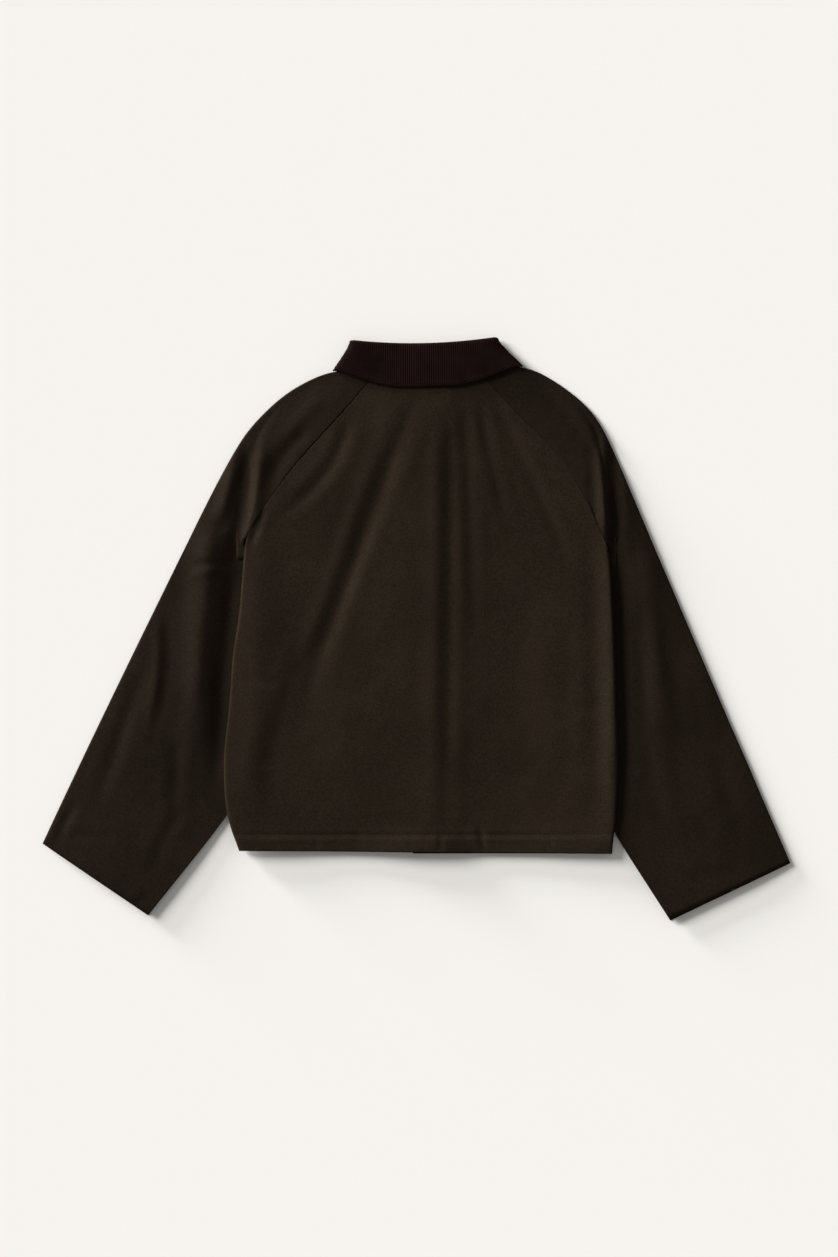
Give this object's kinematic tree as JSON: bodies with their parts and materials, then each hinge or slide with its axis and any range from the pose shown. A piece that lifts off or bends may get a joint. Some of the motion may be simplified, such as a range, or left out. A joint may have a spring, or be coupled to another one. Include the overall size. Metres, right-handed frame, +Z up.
{
  "type": "raglan jacket",
  "caption": "Short boxy raglan jacket in dark olive-brown cotton with a corduroy collar, laid flat face down.",
  "frame": {"origin": "middle of the underside, on the surface the jacket lies on", "axes": "+X across the back to the wearer's right, +Y from hem to collar, +Z up from the surface"},
  "size_m": [1.03, 0.802, 0.0158],
  "materials": {
    "cloth": "matt dry waxed plain-weave cotton, dark olive brown",
    "corduroy": "fine corduroy pile, dark oxblood brown",
    "button": "dark brown satin resin"
  },
  "bodies": {
    "root": {"back_panel": "cloth", "front_left": "cloth", "front_right": "cloth", "sleeve_left": "cloth", "sleeve_right": "cloth", "collar_stand": "cloth", "collar_leaf": "corduroy", "button_1": "button", "button_2": "button", "button_3": "button", "button_4": "button", "button_5": "button"}
  },
  "joints": []
}
